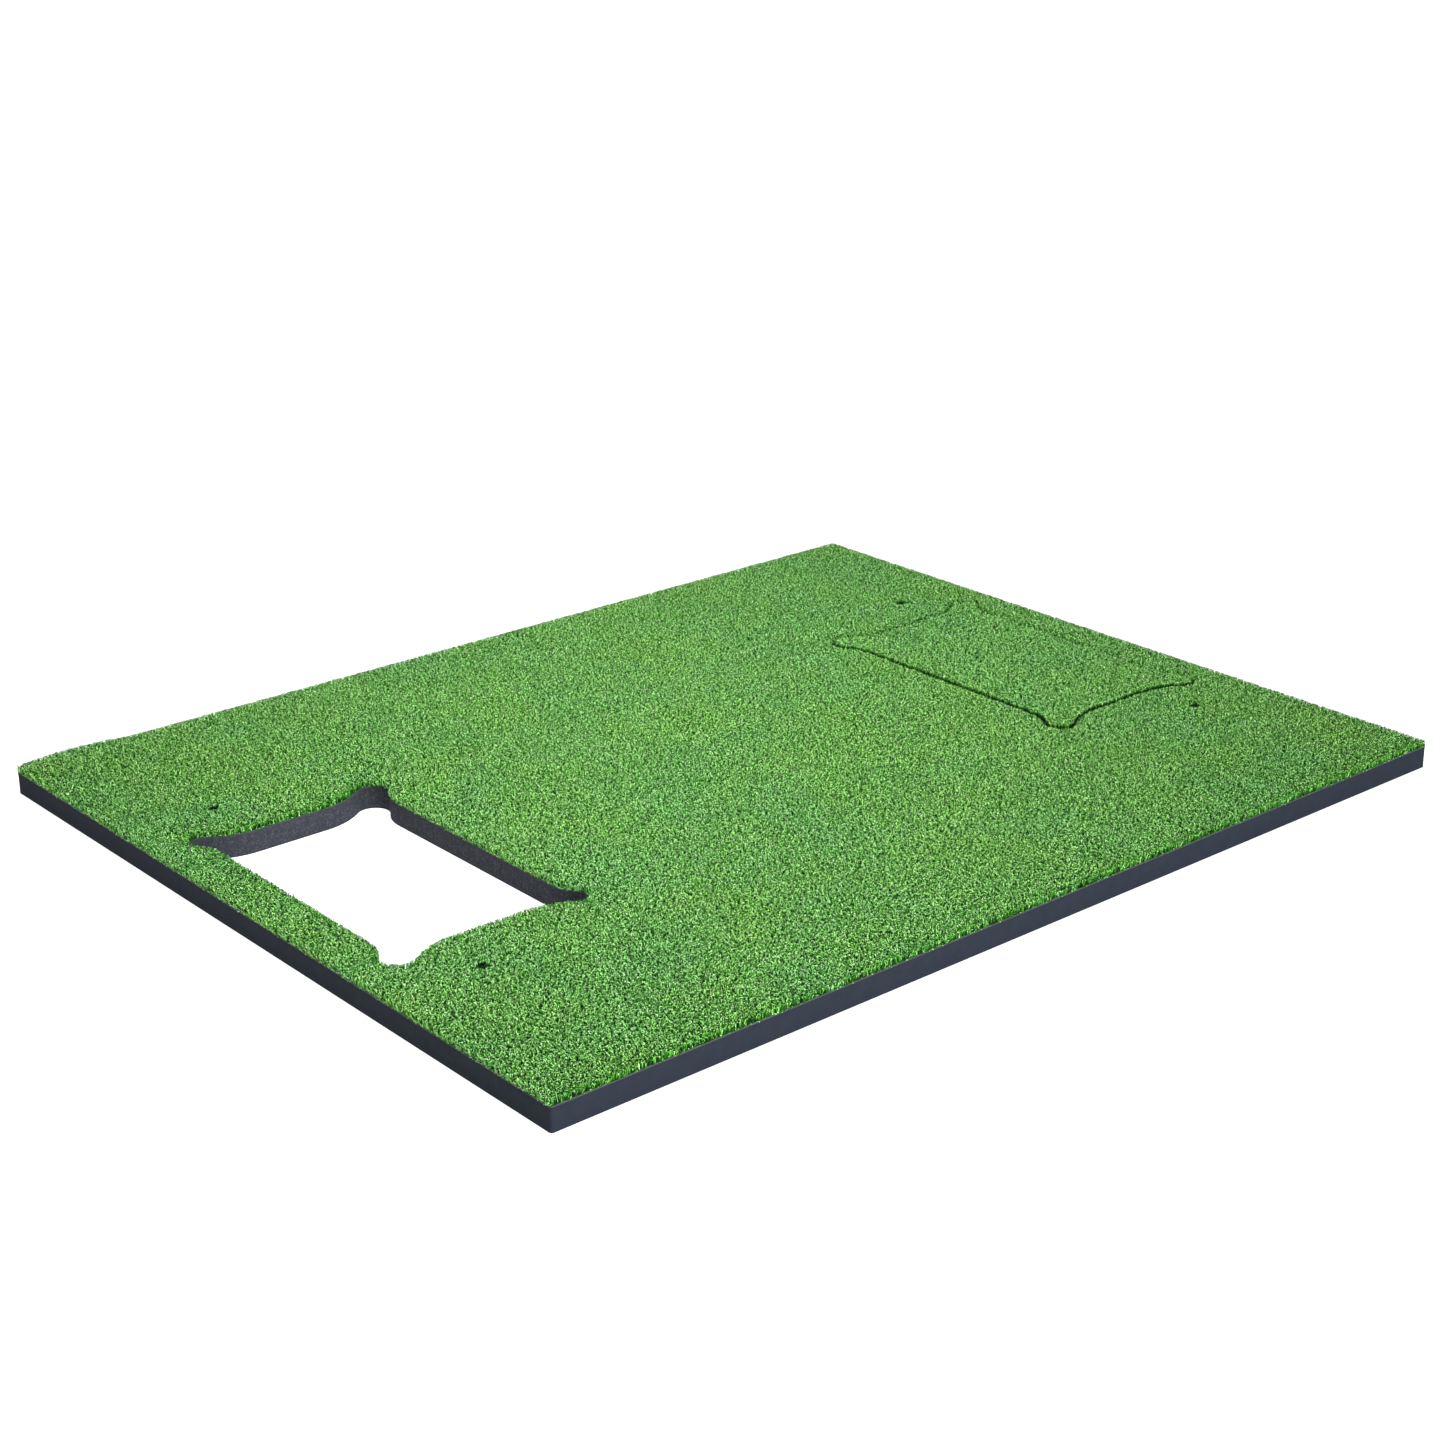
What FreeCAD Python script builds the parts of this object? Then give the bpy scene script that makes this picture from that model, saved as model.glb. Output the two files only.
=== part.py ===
import FreeCAD, Part
import math
import os

# A golf hitting mat: a rectangular foam slab with turf bonded on top. Two like
# openings go right through it, one near each short side. The one at -X is empty
# and the one at +X holds a lift-out insert built up in the same layers. Four tee
# holes go right through the mat, two beside each opening.
#
# Millimetres. The origin is at the centre of the underside, +X runs along the long
# side towards the insert, +Y along the short side, and +Z up through the pile.

# Driving dimensions
MAT_LENGTH = 1500.0
MAT_WIDTH = 1200.0
MAT_CORNER_RADIUS = 4.0

FOAM_THICKNESS = 30.0
GLUE_THICKNESS = 0.5
LATEX_THICKNESS = 0.8
BACKING_THICKNESS = 0.7
PILE_HEIGHT = 6.5

OPENING_CENTRE_X = 555.0        # from the mat's centre to either opening's centre
WAIST_HALF_LENGTH = 130.0       # centre to the straight side, along X
WAIST_HALF_WIDTH = 215.0        # centre to the straight end, along Y
LOBE_HALF_LENGTH = 148.0        # centre to the furthest point of a corner lobe, along X
LOBE_HALF_WIDTH = 240.0         # and along Y
LOBE_RADIUS = 22.0
SIDE_FLARE_RADIUS = 60.0        # hollow arc from a straight side out to a lobe
END_FLARE_RADIUS = 100.0        # hollow arc from a straight end out to a lobe
INSERT_GAP = 1.5                # all round, between the insert and its opening

TEE_HOLE_X = 620.0
TEE_HOLE_Y = 300.0
TEE_HOLE_RADIUS = 6.5

# Each layer from the floor up: what its node's name ends in on the mat and on the
# insert, and its thickness.
LAYERS = [
    ("foam_slab", "foam_block", FOAM_THICKNESS),
    ("glue_film", "glue_film", GLUE_THICKNESS),
    ("latex_coat", "latex_coat", LATEX_THICKNESS),
    ("backing_cloth", "backing_cloth", BACKING_THICKNESS),
    ("turf_pile", "turf_pile", PILE_HEIGHT),
]


def flare_centre_along(edge_distance, lobe_across, lobe_along, flare_radius):
    """How far along a straight edge, from its middle, the centre of its flare arc lies.

    The arc is tangent to the edge, which is edge_distance from the opening's centre
    line, and tangent from outside to the lobe's circle. The circle's centre is
    lobe_across from that line and lobe_along from the edge's middle.
    """
    across = edge_distance + flare_radius - lobe_across
    between_centres = flare_radius + LOBE_RADIUS
    return lobe_along - math.sqrt(between_centres ** 2 - across ** 2)


def quarter_outline(gap):
    """Three arcs of the outline in the +X +Y quarter, drawn in by `gap`.

    Each arc is (centre x, centre y, radius, start angle, end angle), in radians.
    """
    lobe_x = LOBE_HALF_LENGTH - LOBE_RADIUS
    lobe_y = LOBE_HALF_WIDTH - LOBE_RADIUS
    side_x = WAIST_HALF_LENGTH + SIDE_FLARE_RADIUS
    side_y = flare_centre_along(WAIST_HALF_LENGTH, lobe_x, lobe_y, SIDE_FLARE_RADIUS)
    end_x = flare_centre_along(WAIST_HALF_WIDTH, lobe_y, lobe_x, END_FLARE_RADIUS)
    end_y = WAIST_HALF_WIDTH + END_FLARE_RADIUS

    to_side = math.atan2(side_y - lobe_y, side_x - lobe_x)
    to_end = math.atan2(end_y - lobe_y, end_x - lobe_x)
    side_flare = (side_x, side_y, SIDE_FLARE_RADIUS + gap, math.pi, to_side + math.pi)
    lobe = (lobe_x, lobe_y, LOBE_RADIUS - gap, to_side, to_end)
    end_flare = (end_x, end_y, END_FLARE_RADIUS + gap, to_end - math.pi, -math.pi / 2)
    return side_flare, lobe, end_flare


def on_arc(arc, angle, sign_x, sign_y):
    """The point of a quarter's arc at an angle, mirrored into one of the quarters."""
    centre_x, centre_y, radius = arc[:3]
    return FreeCAD.Vector(
        sign_x * (centre_x + radius * math.cos(angle)),
        sign_y * (centre_y + radius * math.sin(angle)),
        0)


def opening_outline(gap):
    """The closed outline of an opening about the origin, drawn in by `gap`."""
    signs = (-1, 1)
    side_flare, lobe, end_flare = quarter_outline(gap)
    edges = []
    for sign_x in signs:
        for sign_y in signs:
            for arc in (side_flare, lobe, end_flare):
                start, end = arc[3:]
                points = [on_arc(arc, angle, sign_x, sign_y)
                          for angle in (start, (start + end) / 2, end)]
                edges.append(Part.Arc(*points).toShape())
    for sign_x in signs:
        straight_side = [on_arc(side_flare, side_flare[3], sign_x, sign_y) for sign_y in signs]
        edges.append(Part.makeLine(*straight_side))
    for sign_y in signs:
        straight_end = [on_arc(end_flare, end_flare[4], sign_x, sign_y) for sign_x in signs]
        edges.append(Part.makeLine(*straight_end))
    return Part.Wire(Part.__sortEdges__(edges))


def opening_prism(centre_x, bottom, height, gap):
    """A vertical prism of the opening's outline."""
    prism = Part.Face(opening_outline(gap)).extrude(FreeCAD.Vector(0, 0, height))
    prism.translate(FreeCAD.Vector(centre_x, 0, bottom))
    return prism


def mat_block(bottom, height):
    """The mat's rectangle with its upright corners rounded."""
    corner = FreeCAD.Vector(-MAT_LENGTH / 2, -MAT_WIDTH / 2, bottom)
    block = Part.makeBox(MAT_LENGTH, MAT_WIDTH, height, corner)
    upright = [edge for edge in block.Edges
               if abs(edge.tangentAt(edge.FirstParameter).z) > 0.5]
    return block.makeFillet(MAT_CORNER_RADIUS, upright)


def tee_holes(bottom, height):
    """Four cylinders, one for each tee hole."""
    return [Part.makeCylinder(TEE_HOLE_RADIUS, height,
                              FreeCAD.Vector(sign_x * TEE_HOLE_X, sign_y * TEE_HOLE_Y, bottom))
            for sign_x in (-1, 1) for sign_y in (-1, 1)]


def mat_layer(bottom, height):
    """One layer of the mat, cut through by both openings and the tee holes."""
    cutters = [opening_prism(sign_x * OPENING_CENTRE_X, bottom, height, 0)
               for sign_x in (-1, 1)]
    return mat_block(bottom, height).cut(cutters + tee_holes(bottom, height))


def insert_layer(bottom, height):
    """One layer of the insert, in its opening at the +X end."""
    return opening_prism(OPENING_CENTRE_X, bottom, height, INSERT_GAP)


def save(node, shape):
    """Write one node's solid, and print its size."""
    solid = shape.Solids[0]
    if len(shape.Solids) != 1 or not solid.isValid():
        raise ValueError(node + " isn't one valid solid")
    solid.exportStep(os.path.join("parts", node + ".step"))
    box = solid.BoundBox
    print("%-22s %8.1f x %8.1f x %5.1f mm, from z = %4.1f, %9.0f mm3"
          % (node, box.XLength, box.YLength, box.ZLength, box.ZMin, solid.Volume))


os.makedirs("parts", exist_ok=True)
bottom = 0.0
for mat_name, insert_name, thickness in LAYERS:
    save("base_" + mat_name, mat_layer(bottom, thickness))
    save("insert_" + insert_name, insert_layer(bottom, thickness))
    bottom += thickness
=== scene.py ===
import math

import bpy
import numpy as np
from mathutils import Matrix, Vector, noise
from mathutils.geometry import delaunay_2d_cdt


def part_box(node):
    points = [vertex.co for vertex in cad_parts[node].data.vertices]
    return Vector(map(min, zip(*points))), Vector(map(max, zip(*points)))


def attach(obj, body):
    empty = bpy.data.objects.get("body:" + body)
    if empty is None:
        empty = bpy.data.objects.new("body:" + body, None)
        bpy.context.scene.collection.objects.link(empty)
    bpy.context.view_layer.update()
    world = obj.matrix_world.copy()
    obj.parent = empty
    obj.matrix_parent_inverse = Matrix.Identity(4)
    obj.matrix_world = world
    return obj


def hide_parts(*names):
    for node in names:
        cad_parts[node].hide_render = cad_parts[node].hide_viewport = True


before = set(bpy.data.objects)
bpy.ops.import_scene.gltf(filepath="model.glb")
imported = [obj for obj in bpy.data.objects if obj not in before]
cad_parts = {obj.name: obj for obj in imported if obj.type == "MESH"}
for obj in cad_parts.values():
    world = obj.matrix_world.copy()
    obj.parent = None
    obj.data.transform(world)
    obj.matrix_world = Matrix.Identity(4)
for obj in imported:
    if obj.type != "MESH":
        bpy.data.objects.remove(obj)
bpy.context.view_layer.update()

# The foam's made pieces
FOAM_EDGE_ROUND = 0.0005        # how far the cut edges are rounded over
FOAM_EDGE_FACETS = 3
FOAM_WALL_STEP = 0.006          # between points along a wall
FOAM_WALL_SHARES = (0.2, 0.4, 0.6, 0.8)  # where they are up it, as shares of its height
FOAM_WAVE = 0.00025             # how far a cut wall wanders
FOAM_WAVE_LENGTH = 0.09
FOAM_SHARP_TURN = math.radians(50)
CAP_TRIANGLES = 1               # the triangulation's kind: only what is inside the outline
CAP_NEARNESS = 1e-7             # it merges points that are nearer than this
SAME_HEIGHT = 1e-5              # corners this near the lowest point are on the underside
SAME_POINT = 6                  # decimals of a metre that make two corners the same

# The turf's tufts. A shade is how bright a fibre is at its tip: its yarn's own tone, times any painted
# shade near an open rim.
TUFT_PITCH = 0.0026
TUFT_JITTER = 0.35              # how far a tuft is off its place in the grid, in pitches
TUFT_RADIUS = 0.0012
TUFT_SHADES = (0.05, 0.68, 1.0)  # each tuft has a dark fibre, a middle one and a light one
NAP_HEADING = math.radians(190)  # the way that the pile leans, from +X towards +Y
NAP = np.array([math.cos(NAP_HEADING), math.sin(NAP_HEADING)])
NAP_SHARE = 0.15
LEAN_RANGE = (0.3, 1.0)         # how far fibres lean away from their tuft
SIZE_RANGE = (0.90, 1.08)

# Its fibres: crimped ribbons, each with a stem and two curls
FIBRE_WIDTH = 0.00105
WIDTH_RANGE = (0.7, 1.25)
TAPER = 0.06                    # the share of its width that a ribbon loses on either side at each run
ROLL_SPREAD = 0.45              # how far it rolls over, in radians
RUN_LENGTHS = (0.0065, 0.0018, 0.0013)
RUN_CLIMBS = (78, 36, -10)      # degrees above the level, before each fibre's own change
RUN_SPREADS = (8, 18, 24)
CRIMP = 1.3                     # how far a fibre turns from one run to the next, in radians
DROOP_CRIMP_LOSS = 0.5          # how much less one that droops does
TURF_RISE = 0.0065              # the pile's height that the runs' lengths are for
PILE_OVER = 0.0016              # how far the fibres' ends stand over the pile's nominal height
SHEAR_PRESS = 0.65              # how far a fibre that rises over that is pressed back down

# Its open rims, which fibres lean out over
RIM_REACH = 0.0055              # fibres this near one lean out a little
RIM_LEAN = 0.15
RIM_INSET = 0.0006              # no fibre is rooted nearer to a rim
RIM_SPILL = 0.0009              # how far fibres reach past it before they are pressed back
RIM_PRESS = 0.85
PAINTED_SHADE_REACH = 0.012               # fibres this near get a painted shade, but not where the nap leans out
# how dark that painted shade is right at the rim
RIM_PAINTED_SHADE = 0.36
RIM_PAINTED_LIGHT = 0.15                 # painted light: how much lighter the roots are drawn where a rim leaves them open to the light
NAP_PAINTED_LIGHT = 0.75                 # painted light: how much lighter they are drawn where the nap leans out

# The close row of fibres along an open rim
ROW_STEP = 0.0004               # between fibres
ROW_INSETS = (0.0004, 0.0016)
ROW_SHARE = 0.56                # how many of them there are where the nap doesn't lean out
ROW_CLUMPING = 1.3              # how much they gather into clumps
ROW_CLUMP_LENGTH = 0.0032
ROW_LEANS = (-0.4, 1)           # how far upright ones lean out, and those that droop
ROW_LEAN_SPREAD = 0.45
ROW_PAINTED_SHADE = 0.88                # painted shade: how bright they are drawn beside the rest
ROW_PAINTED_LIGHT = 0.85                 # painted light: how much lighter their roots are drawn at most, besides what the nap adds
ROW_SIZES = (0.95, 0.52)        # of an upright one and of one that droops
ROW_SIZE_RANGE = (0.88, 1.04)
DROOP_SHARES = (0.15, 0.75)     # how many droop, and how many more do where the nap leans out
DROOP_CLIMBS = (22, -35, -65)
DROOP_SPILL = 0.0022

# The slit round the insert and the tee holes, which fibres stand back from
SHUT_REACH = 0.0085             # fibres this near stand back
SHUT_LEAN = -1.3
SHUT_LOSS = 0.85                # how much shorter the mat's fibres are right beside it
SHUT_COVER = 0.6                # how much less they stand back where the nap leans over it
SHUT_UNEVEN = 1.0
SHUT_UNEVEN_LENGTH = 0.015
TEE_HOLE_MOST = 0.05            # a loop smaller than this is a tee hole
TEE_HOLE_STANDS = (0.42, 0.6)   # how much they stand back from one: near the empty cut-out, near the insert
INSERT_SHUT_LOSS = 0.10         # the insert's loss beside the slit
INSERT_PROUD = 0.0008           # how much higher the insert's pile stands

# The pile stands taller round this point, which is on the edge beside a corner
TUFTED_PLACE = (-0.667, 0.6)
TUFTED_REACH = 0.085
TUFTED_GAIN = 0.65

# Each body's name, its pieces' prefix, the CAD node of its foam and that foam's slot
BODIES = (
    ("mat", "base", "base_foam_slab", "foam"),
    ("insert", "insert", "insert_foam_block", "insert_foam"),
)
# For each body: how many columns and rows of tiles its pile is in, how much higher it
# stands, and how much shorter its fibres are beside the slit
PILES = (
    (7, 4, 0, SHUT_LOSS),
    (1, 2, INSERT_PROUD, INSERT_SHUT_LOSS),
)
SEED = 7

# The turf's material
FIBRE_LIGHTS = (0.48, 1.40)     # from the darkest fibre to the lightest
PAINTED_SHADE_LIGHTS = (0.03, 1.22)    # a painted shade, from the root to the tip
PAINTED_SHADE_POWER = 1.7
GRAINS = ((950.0, 1.4), (400.0, 0.25), (65.0, 0.08))  # each noise's scale and how far it goes
GRAIN_VALUES = (0.25, 0.75)     # the noise's own range
MIX_FIRST, MIX_SECOND, MIX_RESULT = 6, 7, 2  # a colour Mix node's sockets

# The backing cloth. A face's way up is 1 if it faces straight up.
CLOTH_DYED_OVER = 0.5           # the way up that shows its green

# The camera
CAMERA_PLACE = Vector((-2.139, -2.521, 1.387))
CAMERA_AZIMUTH = math.radians(40.23)     # clockwise from +Y
CAMERA_DROP = math.radians(21.51)        # below the level
CAMERA_ROLL = math.radians(-0.45)
CAMERA_LENS = 65.35
CAMERA_SIGHT = 100.0
SENSOR_WIDTH = 36.0

# The studio
FLOOR_RADIUS = 30.0
FLOOR_SIDES = 64
FLOOR_GREY = 0.7
FLOOR_GLOW = 0.82
WORLD_STRENGTH = 0.32
TOP_LIGHT = {"place": (-0.17, 0.02, 1.45), "aim": (-0.17, 0.02, 0), "size": (0.6, 2.2), "power": 41,
             "heading": math.radians(-50)}
FRONT_LIGHT = {"place": (-0.6, -3.9, 0.6), "aim": (-0.2, -0.6, 0), "size": (2.2, 1.0), "power": 214,
               "heading": 0}


# Outlines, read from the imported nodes

def boundary_loops(node):
    """The outline of a node's flat underside: closed loops of 2D points, the material on their left."""
    low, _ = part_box(node)
    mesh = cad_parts[node].data
    place = {}
    edges = []
    for polygon in mesh.polygons:
        corners = [mesh.vertices[i].co for i in polygon.vertices]
        if any(abs(c.z - low.z) > SAME_HEIGHT for c in corners):
            continue
        keys = [(round(c.x, SAME_POINT), round(c.y, SAME_POINT)) for c in corners]
        place.update(zip(keys, [(c.x, c.y) for c in corners]))
        edges += zip(keys, keys[1:] + keys[:1])
    # The underside's faces turn clockwise as seen from above, so the loops are followed backwards
    known = set(edges)
    follows = {b: a for a, b in edges if (b, a) not in known}
    loops = []
    while follows:
        start = next(iter(follows))
        loop = [start]
        while loop[-1] in follows:
            loop.append(follows.pop(loop[-1]))
        loops.append(np.array([place[k] for k in loop[:-1]]))
    return sorted(loops, key=lambda loop: -np.ptp(loop[:, 0]))


def evenly(loop, step):
    """The loop with its longer edges divided, so that no edge is much over step."""
    points = []
    for a, b in zip(loop, np.roll(loop, -1, axis=0)):
        count = max(1, round(float(np.linalg.norm(b - a)) / step))
        points += [a + (b - a) * k / count for k in range(count)]
    return np.array(points)


def outward(loop):
    """Unit normals at a loop's points, away from the material."""
    along = np.roll(loop, -1, axis=0) - np.roll(loop, 1, axis=0)
    normal = np.stack([along[:, 1], -along[:, 0]], 1)
    return normal / np.linalg.norm(normal, axis=1, keepdims=True)


def rim_distance(points, loops, reach):
    """How far each 2D point is inside the material, up to reach, the way out, and which loop is nearest."""
    inside = np.full(len(points), reach)
    way_out = np.zeros((len(points), 2))
    nearest = np.zeros(len(points), int)
    for number, loop in enumerate(loops):
        low, high = loop.min(0) - reach, loop.max(0) + reach
        near = np.flatnonzero(((points >= low) & (points <= high)).all(1))
        for a, b in zip(loop, np.roll(loop, -1, axis=0)):
            edge = b - a
            length = float(np.linalg.norm(edge))
            offset = points[near] - a
            share = np.clip(offset @ edge / length ** 2, 0, 1)
            away = offset - share[:, None] * edge
            gap = np.linalg.norm(away, axis=1)
            side = np.where(edge[0] * offset[:, 1] - edge[1] * offset[:, 0] >= 0, 1, -1)
            closer = gap < np.abs(inside[near]) - 1e-9
            chosen = near[closer]
            inside[chosen] = (gap * side)[closer]
            way_out[chosen] = np.array([edge[1], -edge[0]]) / length
            nearest[chosen] = number
    return inside, way_out, nearest


# Meshes

def new_object(name, vertices, faces, material):
    """A mesh object from arrays. faces is an array of quads, or a list of faces of any size."""
    mesh = bpy.data.meshes.new(name)
    if isinstance(faces, np.ndarray):
        corners = faces.shape[1]
        mesh.vertices.add(len(vertices))
        mesh.vertices.foreach_set("co", vertices.astype(np.float32).ravel())
        mesh.loops.add(faces.size)
        mesh.loops.foreach_set("vertex_index", faces.astype(np.int32).ravel())
        mesh.polygons.add(len(faces))
        mesh.polygons.foreach_set("loop_start", np.arange(len(faces), dtype=np.int32) * corners)
        mesh.update()
    else:
        mesh.from_pydata(vertices, [], faces)
    mesh.materials.append(material)
    made = bpy.data.objects.new(name, mesh)
    bpy.context.scene.collection.objects.link(made)
    return made


def wall_profile(height):
    """(how far in from the wall, height, how much the wall's waves show) up a cut foam wall."""
    turns = [k * math.pi / (2 * FOAM_EDGE_FACETS) for k in range(FOAM_EDGE_FACETS + 1)]
    foot = [(FOAM_EDGE_ROUND * (1 - math.sin(a)), FOAM_EDGE_ROUND * (1 - math.cos(a)), 0) for a in turns]
    head = [(inset, height - up, 0) for inset, up, _ in reversed(foot)]
    middle = [(0, height * share, 1) for share in FOAM_WALL_SHARES]
    return foot + middle + head


def foam_piece(name, node, skin, cut, outside_is_cut):
    """The foam of a CAD node as a closed mesh, its edges rounded over and its walls a little wavy."""
    low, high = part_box(node)
    loops = [evenly(loop, FOAM_WALL_STEP) for loop in boundary_loops(node)]
    vertices, faces = [], []
    finishes = []
    rims = {"foot": [], "head": []}
    profile = wall_profile(high.z - low.z)
    for number, loop in enumerate(loops):
        normals = outward(loop)
        rings = []
        for inset, height, wavy in profile:
            first = len(vertices)
            for (x, y), (nx, ny) in zip(loop, normals):
                wave = noise.noise(Vector((x, y, height)) / FOAM_WAVE_LENGTH) * FOAM_WAVE * wavy
                out = wave - FOAM_WAVE * wavy - inset
                vertices.append((x + nx * out, y + ny * out, low.z + height))
            rings.append(range(first, first + len(loop)))
        count = len(loop)
        for below, above in zip(rings, rings[1:]):
            for k in range(count):
                after = (k + 1) % count
                faces.append((below[k], below[after], above[after], above[k]))
            finishes += [int(number > 0 or outside_is_cut)] * count
        rims["foot"].append(rings[0])
        rims["head"].append(rings[-1])
    faces += [tuple(reversed(f)) for f in filled(vertices, rims["foot"])]
    faces += filled(vertices, rims["head"])
    made = new_object(name, vertices, faces, skin)
    made.data.materials.append(cut)
    finishes += [0] * (len(faces) - len(finishes))
    made.data.polygons.foreach_set("material_index", finishes)
    made.data.shade_smooth()
    made.data.set_sharp_from_angle(angle=FOAM_SHARP_TURN)
    return made


def filled(vertices, rims):
    """Triangles over the flat region whose edge is these rings of vertices, facing up."""
    order = [i for rim in rims for i in rim]
    number = {i: k for k, i in enumerate(order)}
    flat = [Vector(vertices[i][:2]) for i in order]
    edges = [(number[a], number[b]) for rim in rims for a, b in zip(rim, [*rim[1:], rim[0]])]
    found = delaunay_2d_cdt(flat, edges, [], CAP_TRIANGLES, CAP_NEARNESS)[2]
    centres = np.array([sum((flat[i] for i in face), Vector((0, 0))) / 3 for face in found])
    loops = [np.array([vertices[i][:2] for i in rim]) for rim in rims]
    kept = even_odd(centres, loops)
    return [tuple(order[i] for i in face) for face, keep in zip(found, kept) if keep]


def even_odd(points, loops):
    """Whether each 2D point is in the material between the loops."""
    inside = np.zeros(len(points), bool)
    x, y = points[:, 0], points[:, 1]
    for loop in loops:
        for (ax, ay), (bx, by) in zip(loop, np.roll(loop, -1, axis=0)):
            if ay == by:
                continue
            crosses = (ay > y) != (by > y)
            inside ^= crosses & (x < ax + (y - ay) / (by - ay) * (bx - ax))
    return inside


def rim_kinds(loops):
    """For each loop, whether fibres spill out over that rim, and how much they stand back from it."""
    shut_low, shut_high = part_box("insert_turf_pile")
    spills, stands = [], []
    for loop in loops:
        middle = (loop.min(0) + loop.max(0)) / 2
        is_tee_hole = np.ptp(loop[:, 0]) < TEE_HOLE_MOST
        beside_insert = len(loops) == 1 or shut_low.x < middle[0] < shut_high.x
        spills.append(not is_tee_hole and not beside_insert)
        stands.append(TEE_HOLE_STANDS[int(middle[0] > 0)] if is_tee_hole else float(beside_insert))
    return np.array(spills), np.array(stands)


def tuft_roots(loops, rng):
    """Each fibre's root, the way it leaves its tuft, and its shade. The tufts are on a jittered grid."""
    low, high = loops[0].min(0), loops[0].max(0)
    across, along = (int(n) for n in (high - low) / TUFT_PITCH)
    column, row = np.meshgrid(np.arange(across), np.arange(along))
    cells = np.stack([column.ravel(), row.ravel()], 1)
    tufts = low + (cells + 0.5 + rng.uniform(-TUFT_JITTER, TUFT_JITTER, cells.shape)) * TUFT_PITCH
    shade = np.tile(TUFT_SHADES, len(tufts))
    tufts = np.repeat(tufts, len(TUFT_SHADES), axis=0)
    heading = rng.uniform(0, 2 * math.pi, len(tufts))
    away = np.stack([np.cos(heading), np.sin(heading)], 1)
    roots = tufts + away * (TUFT_RADIUS * np.sqrt(rng.uniform(0, 1, len(tufts))))[:, None]
    kept = even_odd(roots, loops)
    return roots[kept], away[kept], shade[kept]


def stand_back(roots, close, way_out):
    """How far fibres beside a slit or a tee hole stand back: unevenly, and less where the nap leans out."""
    covered = SHUT_COVER * (0.5 + 0.5 * way_out @ NAP)
    amount = close * (1 - covered)
    near = np.flatnonzero(amount > 0)
    waves = [noise.noise(Vector((x, y, 0)) / SHUT_UNEVEN_LENGTH) for x, y in roots[near]]
    amount[near] *= 1 + SHUT_UNEVEN * np.array(waves)
    return np.clip(amount, 0, 1)


def upright_fibres(loops, spills, stands, shut_loss, rng):
    """The pile's own fibres: their roots, leans, sizes and shades, and how far out each may reach."""
    roots, away, shade = tuft_roots(loops, rng)
    inside, way_out, nearest = rim_distance(roots, loops, PAINTED_SHADE_REACH)
    kept = inside > RIM_INSET
    roots, away, shade = roots[kept], away[kept], shade[kept]
    inside, way_out, nearest = inside[kept], way_out[kept], nearest[kept]
    open_rim = spills[nearest]
    close = np.clip(1 - inside / np.where(open_rim, RIM_REACH, SHUT_REACH), 0, 1)
    back = stand_back(roots, close * stands[nearest], way_out)
    lean = away * rng.uniform(*LEAN_RANGE, len(roots))[:, None] + NAP_SHARE * NAP
    lean += way_out * np.where(open_rim, RIM_LEAN * close, SHUT_LEAN * back)[:, None]
    size = rng.uniform(*SIZE_RANGE, len(roots)) * (1 - shut_loss * back)
    spill = np.where(open_rim, RIM_SPILL, 0)
    nap_out = np.clip(way_out @ NAP, 0, 1)
    # painted light: roots near an open rim are drawn lighter, most where the nap leans out
    lift = np.where(open_rim, (RIM_PAINTED_LIGHT * (1 - nap_out) + NAP_PAINTED_LIGHT * nap_out) * close, 0)
    # painted shade: fibres near an open rim are drawn darker, except where the nap leans out
    rim_painted_shade = RIM_PAINTED_SHADE * (1 - nap_out) * np.clip(1 - inside / PAINTED_SHADE_REACH, 0, 1)
    shade = shade * (1 - np.where(open_rim, rim_painted_shade, 0))
    return {"root": roots, "lean": lean, "size": size, "shade": shade, "lift": lift,
            "out": way_out, "reach": inside + spill, "droop": np.zeros(len(roots))}


def rim_fibres(loops, spills, rng):
    """A close row of fibres along each open rim: upright, but many droop where the nap leans out."""
    upright_lean, droop_lean = ROW_LEANS
    parts = []
    for loop, is_open in zip(loops, spills):
        if not is_open:
            continue
        rim = evenly(loop, ROW_STEP)
        normal = outward(rim)
        nap_out = np.clip(normal @ NAP, 0, 1)
        inset = rng.uniform(*ROW_INSETS, len(rim))
        droops = rng.uniform(0, 1, len(rim)) < DROOP_SHARES[0] + DROOP_SHARES[1] * (normal @ NAP)
        droop = np.where(droops, rng.uniform(0, 1, len(rim)), 0)
        lean = normal * np.where(droops, droop_lean, upright_lean)[:, None]
        lean = lean + rng.normal(0, ROW_LEAN_SPREAD, normal.shape)
        spill = RIM_SPILL + (DROOP_SPILL - RIM_SPILL) * droop
        clumps = [noise.noise(Vector((x, y, 0)) / ROW_CLUMP_LENGTH) for x, y in rim]
        share = (ROW_SHARE + (1 - ROW_SHARE) * nap_out) * (1 + ROW_CLUMPING * np.array(clumps))
        kept = rng.uniform(0, 1, len(rim)) < share
        # painted light: the row's roots are drawn lighter, at random and most where the nap leans out
        lift = ROW_PAINTED_LIGHT * rng.uniform(0, 1, len(rim)) ** 2 + NAP_PAINTED_LIGHT * nap_out
        columns = (rim - normal * inset[:, None], lean, normal, inset + spill, droop, lift)
        parts.append([column[kept] for column in columns])
    roots, lean, normal, reach, droop, lift = (np.concatenate(column) for column in zip(*parts))
    upright_size, droop_size = ROW_SIZES
    size = upright_size + (droop_size - upright_size) * droop
    size = size * rng.uniform(*ROW_SIZE_RANGE, len(roots))
    # the row's fibres take the tufts' tones, darkened by a painted shade
    shade = ROW_PAINTED_SHADE * rng.choice(TUFT_SHADES, len(roots))
    return {"root": roots, "lean": lean, "size": size, "shade": shade, "lift": lift,
            "out": normal, "reach": reach, "droop": droop}


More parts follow.
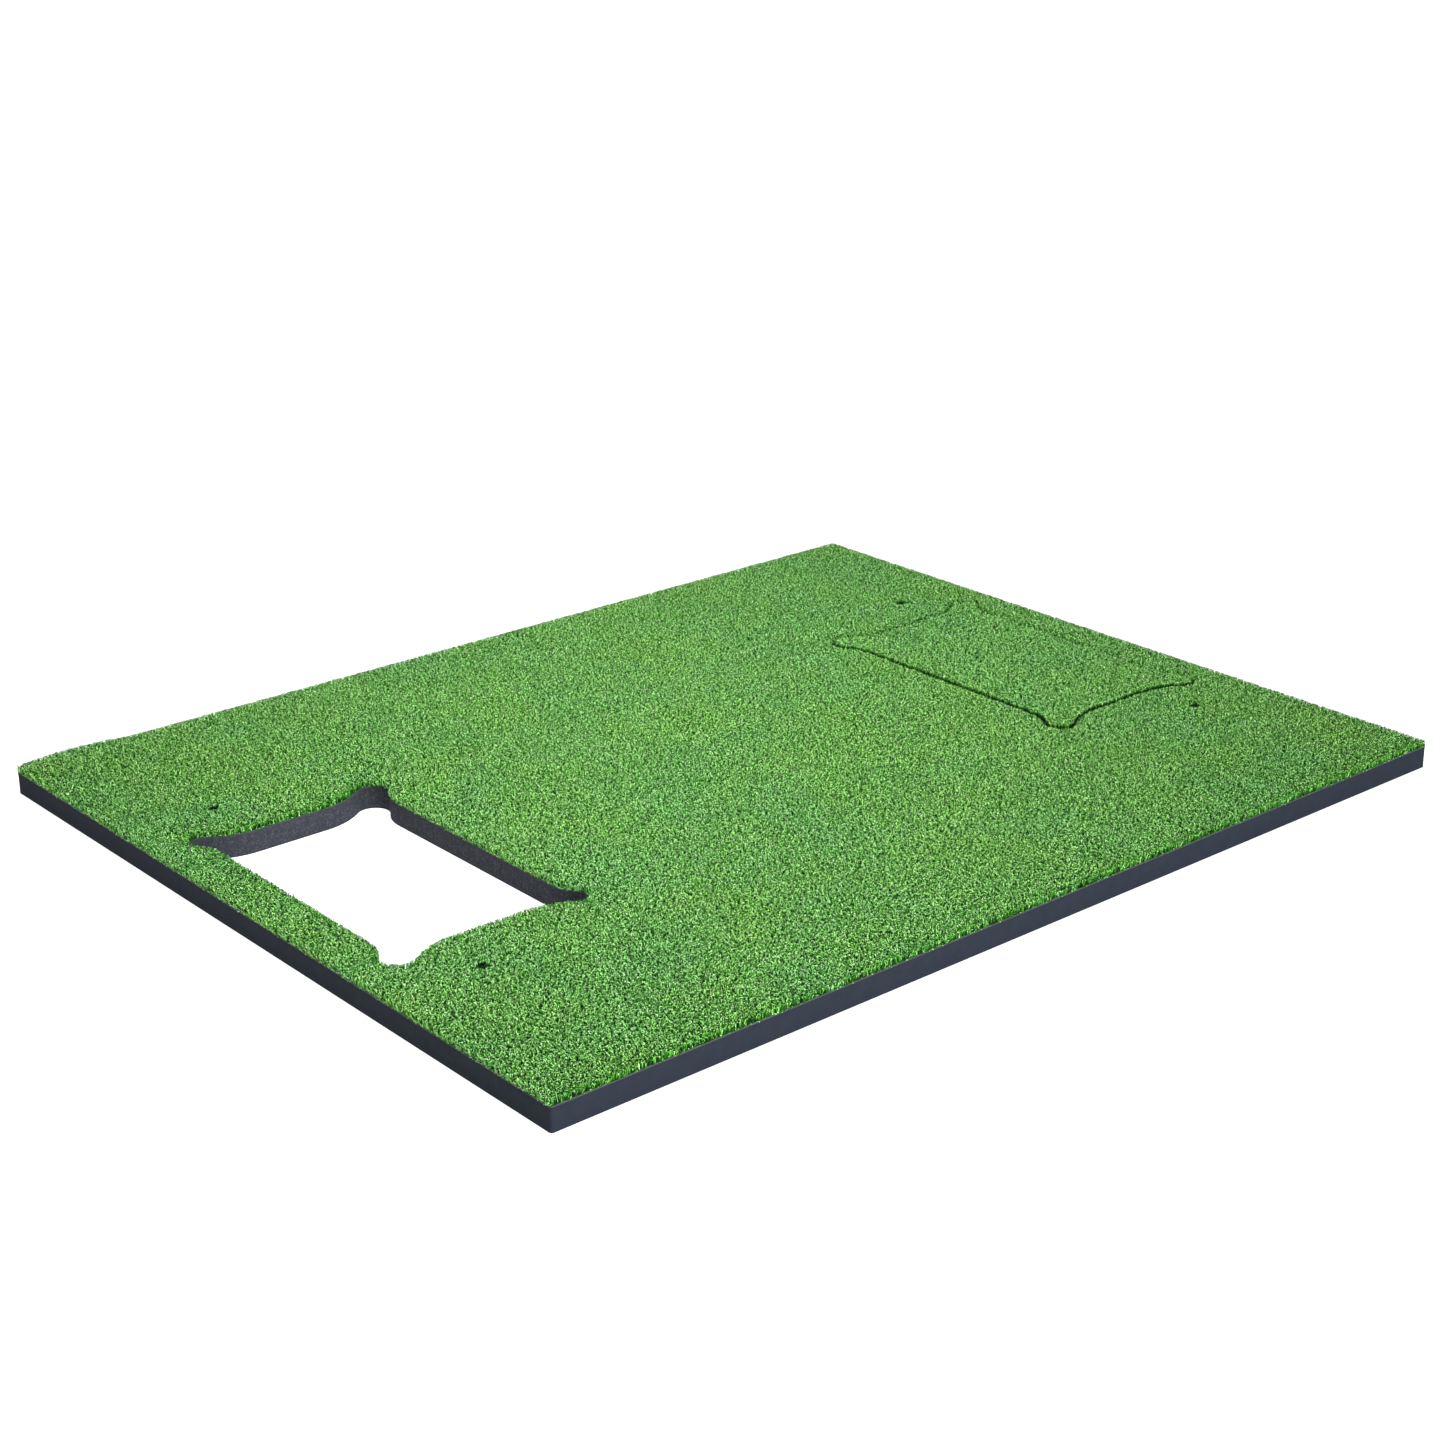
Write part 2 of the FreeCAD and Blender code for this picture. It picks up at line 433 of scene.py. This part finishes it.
def ribbons(fibres, base, top, rng):
    """Vertices and faces of the fibres' crimped ribbons, which stand on base and are shorn at about top."""
    count = len(fibres["root"])
    tufted = np.linalg.norm(fibres["root"] - TUFTED_PLACE, axis=1) / TUFTED_REACH
    gain = 1 + TUFTED_GAIN * np.clip(1 - tufted ** 2, 0, 1)
    size = fibres["size"] * gain * (top - base) / TURF_RISE
    azimuth = np.arctan2(fibres["lean"][:, 1], fibres["lean"][:, 0])
    width = FIBRE_WIDTH * rng.uniform(*WIDTH_RANGE, count)
    place = np.column_stack([fibres["root"], np.full(count, base)])
    rows = []
    for k in range(len(RUN_LENGTHS) + 1):
        run = min(k, len(RUN_LENGTHS) - 1)
        if 0 < k < len(RUN_LENGTHS):
            azimuth = azimuth + rng.normal(0, CRIMP, count) * (1 - DROOP_CRIMP_LOSS * fibres["droop"])
        steep = RUN_CLIMBS[run] + (DROOP_CLIMBS[run] - RUN_CLIMBS[run]) * fibres["droop"]
        climb = np.radians(rng.normal(steep, RUN_SPREADS[run]))
        flat = np.cos(climb)
        ahead = np.stack([flat * np.cos(azimuth), flat * np.sin(azimuth), np.sin(climb)], 1)
        level = np.stack([-np.sin(azimuth), np.cos(azimuth), np.zeros(count)], 1)
        roll = rng.normal(0, ROLL_SPREAD, count)
        side = level * np.cos(roll)[:, None] + np.cross(ahead, level) * np.sin(roll)[:, None]
        half = (width * (0.5 - TAPER * k))[:, None]
        rows += [place - side * half, place + side * half]
        place = place + ahead * (RUN_LENGTHS[run] * size)[:, None]
    vertices = np.stack(rows, 1)
    over = vertices[:, :, 2] - (base + (top - base) * gain[:, None] + PILE_OVER)
    vertices[:, :, 2] -= np.where(over > 0, over * SHEAR_PRESS, 0)
    from_root = vertices[:, :, :2] - fibres["root"][:, None]
    past = np.einsum("nkc,nc->nk", from_root, fibres["out"]) - fibres["reach"][:, None]
    vertices[:, :, :2] -= np.where(past > 0, past * RIM_PRESS, 0)[:, :, None] * fibres["out"][:, None]
    first = np.arange(count)[:, None, None] * len(rows)
    quads = np.array([[2 * k, 2 * k + 1, 2 * k + 3, 2 * k + 2] for k in range(len(RUN_LENGTHS))])
    return vertices.reshape(-1, 3), (first + quads).reshape(-1, 4)


def note_tone_and_painted_shade(mesh, lift, shade):
    """Stores each point's brightness, a painted shade: its fibre's painted root light at the root, 1 at the
    tip, all times its shade.
    """
    ends = np.repeat(np.concatenate([[0], np.cumsum(RUN_LENGTHS)]) / sum(RUN_LENGTHS), 2)
    values = (lift[:, None] + np.outer(1 - lift, ends)) * shade[:, None]
    tone_and_painted_shade = mesh.attributes.new("tone_and_painted_shade", "FLOAT", "POINT")
    tone_and_painted_shade.data.foreach_set("value", values.astype(np.float32).ravel())


def turf_tiles(prefix, node, columns, rows, proud, shut_loss, material, rng):
    """A CAD pile node's fibres as a few meshes, each a rectangle of the pile."""
    low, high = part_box(node)
    loops = boundary_loops(node)
    spills, stands = rim_kinds(loops)
    kinds = [upright_fibres(loops, spills, stands, shut_loss, rng)]
    if spills.any():
        kinds.append(rim_fibres(loops, spills, rng))
    fibres = {name: np.concatenate([kind[name] for kind in kinds]) for name in kinds[0]}
    share_x = (fibres["root"][:, 0] - low.x) / (high.x - low.x)
    share_y = (fibres["root"][:, 1] - low.y) / (high.y - low.y)
    column = np.clip(share_x * columns, 0, columns - 1).astype(int)
    row = np.clip(share_y * rows, 0, rows - 1).astype(int)
    tiles = []
    for tile in range(columns * rows):
        mine = row * columns + column == tile
        chosen = {name: values[mine] for name, values in fibres.items()}
        vertices, faces = ribbons(chosen, low.z, high.z + proud, rng)
        made = new_object(f"{prefix}_{tile + 1:02d}", vertices, faces, material)
        note_tone_and_painted_shade(made.data, chosen["lift"], chosen["shade"])
        made.data.shade_smooth()
        tiles.append(made)
    return tiles


# Materials

def new_material(name, roughness, specular=None):
    """A material, its node tree and its Principled shader."""
    material = bpy.data.materials.new(name)
    material.use_nodes = True
    tree = material.node_tree
    shader = tree.nodes["Principled BSDF"]
    shader.inputs["Roughness"].default_value = roughness
    if specular is not None:
        shader.inputs["Specular IOR Level"].default_value = specular
    return material, tree, shader


def node(tree, kind, **settings):
    """A node of that kind, with its properties and its named inputs' values set."""
    made = tree.nodes.new(kind)
    for name, value in settings.items():
        if name in made.inputs:
            made.inputs[name].default_value = value
        else:
            setattr(made, name, value)
    return made


def texture(tree, kind, **settings):
    """A texture node on the object's own coordinates."""
    made = node(tree, kind, **settings)
    place = node(tree, "ShaderNodeTexCoord")
    tree.links.new(place.outputs["Object"], made.inputs["Vector"])
    return made


def ramp(tree, fac, stops):
    """A colour ramp driven by fac. stops are (place, colour)."""
    made = tree.nodes.new("ShaderNodeValToRGB")
    elements = made.color_ramp.elements
    while len(elements) < len(stops):
        elements.new(0.5)
    for element, (place, colour) in zip(elements, stops):
        element.position = place
        element.color = (*colour, 1)
    tree.links.new(fac, made.inputs["Fac"])
    return made.outputs["Color"]


def ranged(tree, value, low, high, source=(0, 1)):
    """The value, mapped from its source range to low and high."""
    made = node(tree, "ShaderNodeMapRange")
    made.inputs["From Min"].default_value, made.inputs["From Max"].default_value = source
    made.inputs["To Min"].default_value = low
    made.inputs["To Max"].default_value = high
    tree.links.new(value, made.inputs["Value"])
    return made.outputs["Result"]


def product(tree, first, second):
    """Two values multiplied."""
    made = node(tree, "ShaderNodeMath", operation="MULTIPLY")
    tree.links.new(first, made.inputs[0])
    tree.links.new(second, made.inputs[1])
    return made.outputs[0]


def bump(tree, shader, height, strength, distance):
    """Roughens the shader's surface by height."""
    made = node(tree, "ShaderNodeBump", Strength=strength, Distance=distance)
    tree.links.new(height, made.inputs["Height"])
    tree.links.new(made.outputs["Normal"], shader.inputs["Normal"])


def turf_light(tree):
    """How light the pile is at a point: by fibre, by a painted shade darker towards the root, and by a few
    grains.
    """
    island = node(tree, "ShaderNodeNewGeometry").outputs["Random Per Island"]
    # the stored tone and painted shade, darkest at the roots
    tone_and_painted_shade = node(tree, "ShaderNodeAttribute", attribute_name="tone_and_painted_shade").outputs["Fac"]
    steeper = node(tree, "ShaderNodeMath", operation="POWER")
    tree.links.new(tone_and_painted_shade, steeper.inputs[0])
    steeper.inputs[1].default_value = PAINTED_SHADE_POWER
    painted_root_shade = ranged(tree, steeper.outputs[0], *PAINTED_SHADE_LIGHTS)
    light = product(tree, ranged(tree, island, *FIBRE_LIGHTS), painted_root_shade)
    for scale, depth in GRAINS:
        grain = texture(tree, "ShaderNodeTexNoise", Scale=scale, Detail=1.0)
        change = ranged(tree, grain.outputs["Fac"], 1 - depth / 2, 1 + depth / 2, GRAIN_VALUES)
        light = product(tree, light, change)
    return light


def turf_material():
    """Green fibres, each of its own shade, with a painted shade darker towards the root. The dark ones are
    the deepest green; the palest are partly a painted sheen.
    """
    material, tree, shader = new_material("turf_fibre", 0.55, specular=0.12)
    shade = ramp(tree, turf_light(tree), [
        (0.00, (0.0010, 0.005, 0.0018)),
        (0.13, (0.013, 0.115, 0.008)),
        (0.25, (0.047, 0.255, 0.012)),
        (0.40, (0.104, 0.410, 0.038)),
        (0.55, (0.186, 0.565, 0.088)),
        # the palest stops are partly the lightest yarn's tone and partly a painted sheen
        (0.75, (0.335, 0.770, 0.192)),
        (1.00, (0.555, 0.970, 0.385)),
    ])
    patches = texture(tree, "ShaderNodeTexNoise", Scale=8.0, Detail=3.0, Roughness=0.6)
    tint = ramp(tree, patches.outputs["Fac"], [
        (0.35, (0.92, 0.98, 1.08)),
        (0.50, (1.0, 1.0, 1.0)),
        (0.65, (1.05, 1.02, 0.92)),
    ])
    tinted = node(tree, "ShaderNodeMix", data_type="RGBA", blend_type="MULTIPLY")
    tinted.inputs[0].default_value = 1.0
    tree.links.new(shade, tinted.inputs[MIX_FIRST])
    tree.links.new(tint, tinted.inputs[MIX_SECOND])
    tree.links.new(tinted.outputs[MIX_RESULT], shader.inputs["Base Color"])
    return material


def foam_skin_material():
    """Dark slate closed-cell foam with a smooth skin: faint mottling and very fine cells."""
    material, tree, shader = new_material("foam_skin", 0.85, specular=0.12)
    mottle = texture(tree, "ShaderNodeTexNoise", Scale=60.0, Detail=6.0, Roughness=0.65)
    colour = ramp(tree, mottle.outputs["Fac"], [
        (0.3, (0.0088, 0.0121, 0.0190)),
        (0.7, (0.0115, 0.0158, 0.0242)),
    ])
    tree.links.new(colour, shader.inputs["Base Color"])
    cells = texture(tree, "ShaderNodeTexVoronoi", Scale=1100.0)
    bump(tree, shader, cells.outputs["Distance"], 0.35, 0.0003)
    return material


def foam_cut_material():
    """The same foam where a blade has opened its cells: lighter, rougher and speckled."""
    material, tree, shader = new_material("foam_cut", 0.95, specular=0.15)
    cells = texture(tree, "ShaderNodeTexVoronoi", Scale=700.0)
    streaks = texture(tree, "ShaderNodeTexNoise", Scale=180.0, Detail=5.0, Roughness=0.75)
    both = product(tree, cells.outputs["Distance"], streaks.outputs["Fac"])
    colour = ramp(tree, both, [
        (0.10, (0.018, 0.020, 0.027)),
        (0.30, (0.028, 0.030, 0.039)),
        (0.42, (0.050, 0.053, 0.065)),
    ])
    tree.links.new(colour, shader.inputs["Base Color"])
    bump(tree, shader, both, 0.6, 0.0006)
    return material


def backing_material():
    """Woven backing cloth: a speckled cut edge, and a green top face that the pile hides."""
    material, tree, shader = new_material("backing_weave", 0.85)
    weave = texture(tree, "ShaderNodeTexNoise", Scale=170.0, Detail=5.0, Roughness=0.7).outputs["Fac"]
    edge = ramp(tree, weave, [(0.44, (0.008, 0.016, 0.009)), (0.64, (0.070, 0.105, 0.070))])
    thatch = ramp(tree, weave, [(0.35, (0.006, 0.030, 0.008)), (0.65, (0.020, 0.075, 0.020))])
    apart = node(tree, "ShaderNodeSeparateXYZ")
    tree.links.new(node(tree, "ShaderNodeNewGeometry").outputs["Normal"], apart.inputs[0])
    faces_up = node(tree, "ShaderNodeMath", operation="GREATER_THAN")
    faces_up.inputs[1].default_value = CLOTH_DYED_OVER
    tree.links.new(apart.outputs["Z"], faces_up.inputs[0])
    both = node(tree, "ShaderNodeMix", data_type="RGBA")
    tree.links.new(faces_up.outputs[0], both.inputs[0])
    tree.links.new(edge, both.inputs[MIX_FIRST])
    tree.links.new(thatch, both.inputs[MIX_SECOND])
    tree.links.new(both.outputs[MIX_RESULT], shader.inputs["Base Color"])
    bump(tree, shader, weave, 0.5, 0.0003)
    return material


def coat_material(name, dark, light, roughness, scale):
    """A thin coat or film, seen only as a line at the cut edges."""
    material, tree, shader = new_material(name, roughness)
    grain = texture(tree, "ShaderNodeTexNoise", Scale=scale, Detail=3.0, Roughness=0.6).outputs["Fac"]
    tree.links.new(ramp(tree, grain, [(0.42, dark), (0.58, light)]), shader.inputs["Base Color"])
    bump(tree, shader, grain, 0.4, 0.0002)
    return material


def paint(name, material):
    """Gives a CAD node one material."""
    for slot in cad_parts[name].material_slots:
        slot.material = material


# The studio

def camera():
    """The camera, at the mat's front corner and looking down over it."""
    data = bpy.data.cameras.new("camera")
    data.lens = CAMERA_LENS
    data.sensor_width = SENSOR_WIDTH
    data.clip_end = CAMERA_SIGHT
    made = bpy.data.objects.new("camera", data)
    turn = Matrix.Rotation(-CAMERA_AZIMUTH, 4, "Z") @ Matrix.Rotation(math.pi / 2 - CAMERA_DROP, 4, "X")
    made.matrix_world = Matrix.Translation(CAMERA_PLACE) @ turn @ Matrix.Rotation(CAMERA_ROLL, 4, "Z")
    bpy.context.scene.collection.objects.link(made)
    bpy.context.scene.camera = made


def soft_light(name, place, aim, size, power, heading):
    """A rectangular area light that faces aim. size is its width and length, and heading turns it."""
    data = bpy.data.lights.new(name, "AREA")
    data.shape = "RECTANGLE"
    data.size, data.size_y = size
    data.energy = power
    made = bpy.data.objects.new(name, data)
    made.location = place
    facing = (Vector(place) - Vector(aim)).to_track_quat("Z", "Y")
    made.rotation_euler = (Matrix.Rotation(heading, 3, "Z") @ facing.to_matrix()).to_euler()
    made.visible_camera = False
    bpy.context.scene.collection.objects.link(made)


def studio():
    """A pale floor, a dim even surround which is white to look at, and two soft lights."""
    material, _, shader = new_material("floor_paint", 0.7)
    shader.inputs["Base Color"].default_value = (FLOOR_GREY, FLOOR_GREY, FLOOR_GREY, 1)
    shader.inputs["Emission Color"].default_value = (1, 1, 1, 1)
    shader.inputs["Emission Strength"].default_value = FLOOR_GLOW
    ring = [(FLOOR_RADIUS * math.cos(a), FLOOR_RADIUS * math.sin(a), 0)
            for a in np.linspace(0, 2 * math.pi, FLOOR_SIDES, endpoint=False)]
    floor = new_object("studio_floor", ring, [tuple(range(len(ring)))], material)
    world = bpy.data.worlds.new("studio")
    world.use_nodes = True
    tree = world.node_tree
    background = tree.nodes["Background"]
    background.inputs["Color"].default_value = (1, 1, 1, 1)
    seen = node(tree, "ShaderNodeLightPath").outputs["Is Camera Ray"]
    tree.links.new(ranged(tree, seen, WORLD_STRENGTH, 1), background.inputs["Strength"])
    bpy.context.scene.world = world
    bpy.context.scene.view_settings.view_transform = "Standard"
    soft_light("top", **TOP_LIGHT)
    soft_light("front", **FRONT_LIGHT)


camera()
studio()

foam_skin = foam_skin_material()
foam_cut = foam_cut_material()
turf = turf_material()
backing = backing_material()
latex = coat_material("latex_coat", (0.006, 0.010, 0.007), (0.024, 0.032, 0.025), 0.8, 500.0)
glue = coat_material("glue_film", (0.005, 0.008, 0.006), (0.018, 0.023, 0.020), 0.7, 300.0)

for body, prefix, foam_node, slot in BODIES:
    block = foam_piece(prefix + "_foam", foam_node, foam_skin, foam_cut, body == "insert")
    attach(block, body)
    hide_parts(foam_node)
    paint(prefix + "_backing_cloth", backing)
    paint(prefix + "_latex_coat", latex)
    paint(prefix + "_glue_film", glue)

rng = np.random.default_rng(SEED)
for (body, prefix, _, _), (columns, rows, proud, shut_loss) in zip(BODIES, PILES):
    pile_node = prefix + "_turf_pile"
    tiles = turf_tiles(prefix + "_turf", pile_node, columns, rows, proud, shut_loss, turf, rng)
    for tile in tiles:
        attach(tile, body)
        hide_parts(pile_node)
